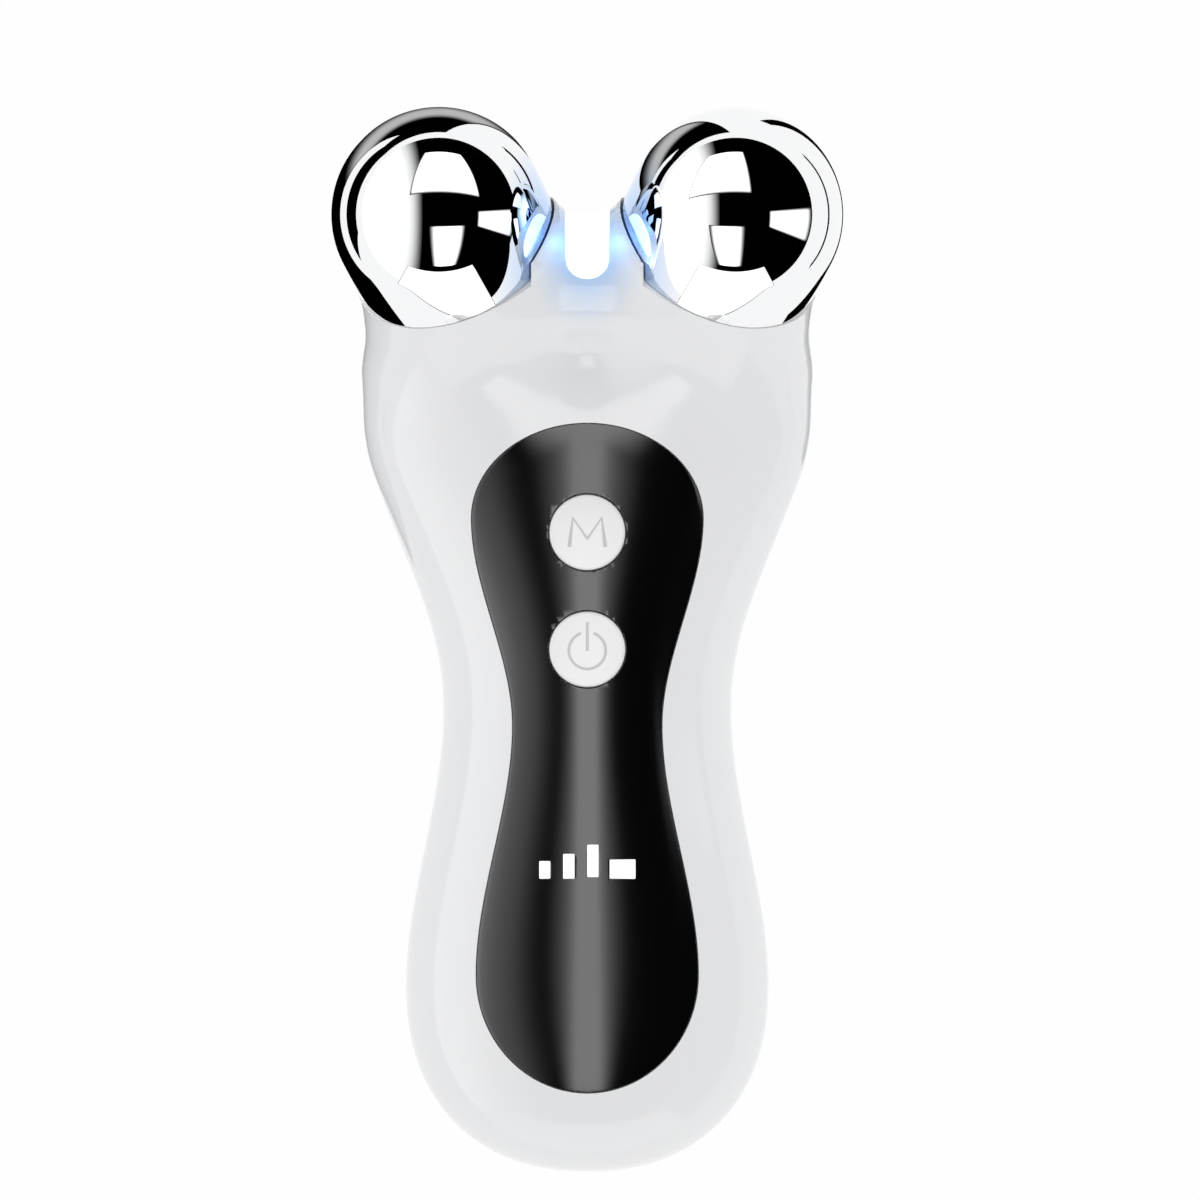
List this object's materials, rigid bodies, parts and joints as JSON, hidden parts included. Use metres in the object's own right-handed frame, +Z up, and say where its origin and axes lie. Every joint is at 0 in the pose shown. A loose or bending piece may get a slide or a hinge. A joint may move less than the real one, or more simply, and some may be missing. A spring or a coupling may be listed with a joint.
{
  "type": "facial toning device",
  "caption": "Hand-held facial toning device with an hourglass handle, leaning chrome heads, a lit saddle strip and push buttons on a glossy control panel.",
  "frame": {"origin": "middle of the bounding box's base: the rest face on the back is at z = 0", "axes": "+Z up through the front face and the control panel, +Y toward the heads, +X to the right seen from the front"},
  "size_m": [0.064, 0.1331, 0.0443],
  "materials": {
    "front_cover": "glossy white moulding",
    "rear_cover": "glossy white moulding",
    "control_panel": "high-gloss black",
    "panel_tape": "adhesive film",
    "buttons": "satin white with pale grey marks",
    "switches": "matte black",
    "plungers": "matte",
    "level_lenses": "translucent white",
    "leds": "clear resin",
    "light_strip": "translucent, lit pale blue-white",
    "boards": "green solder mask",
    "electrodes": "mirror chrome",
    "screws": "plain steel",
    "contact_tabs": "plated strip",
    "seal_rings": "black rubber",
    "chips": "matte black",
    "lead_sockets": "ivory nylon",
    "battery": "foil pouch",
    "battery_pad": "dark foam",
    "charge_port": "bright metal shell",
    "red_wires": "red insulation",
    "white_wires": "white insulation",
    "black_wires": "black insulation"
  },
  "bodies": {
    "housing": {"front_cover": "front_cover", "rear_cover": "rear_cover", "control_panel": "control_panel", "panel_tape": "panel_tape", "mode_switch": "switches", "power_switch": "switches", "level_lenses": "level_lenses", "level_leds": "leds", "light_strip": "light_strip", "light_board": "boards", "light_leds": "leds", "left_electrode": "electrodes", "right_electrode": "electrodes", "electrode_screws": "screws", "contact_tabs": "contact_tabs", "seal_rings": "seal_rings", "main_board": "boards", "controller_chip": "chips", "boost_coil": "chips", "lead_sockets": "lead_sockets", "board_screws": "screws", "case_screws": "screws", "battery": "battery", "battery_pad": "battery_pad", "charge_board": "boards", "charge_port": "charge_port", "electrode_leads": "red_wires", "light_lead": "white_wires", "battery_lead": "red_wires", "charge_lead": "black_wires"},
    "mode_cap": {"mode_button": "buttons"},
    "power_cap": {"power_button": "buttons"},
    "mode_pin": {"mode_plunger": "plungers"},
    "power_pin": {"power_plunger": "plungers"}
  },
  "joints": [
    {"name": "mode_press", "type": "slide", "parent": "housing", "child": "mode_cap", "axis": [0, 0, -1], "range_m": [0, 0.0004], "stiffness_N_per_m": 300, "springref_m": -0.0002},
    {"name": "power_press", "type": "slide", "parent": "housing", "child": "power_cap", "axis": [0, 0, -1], "range_m": [0, 0.0004], "stiffness_N_per_m": 300, "springref_m": -0.0002},
    {"name": "mode_pin_press", "type": "slide", "parent": "housing", "child": "mode_pin", "axis": [0, 0, -1], "range_m": [0, 0.0004]},
    {"name": "power_pin_press", "type": "slide", "parent": "housing", "child": "power_pin", "axis": [0, 0, -1], "range_m": [0, 0.0004]}
  ],
  "couplings": [
    {"joint": "mode_pin_press", "follows": "mode_press", "ratio": 1},
    {"joint": "power_pin_press", "follows": "power_press", "ratio": 1}
  ]
}
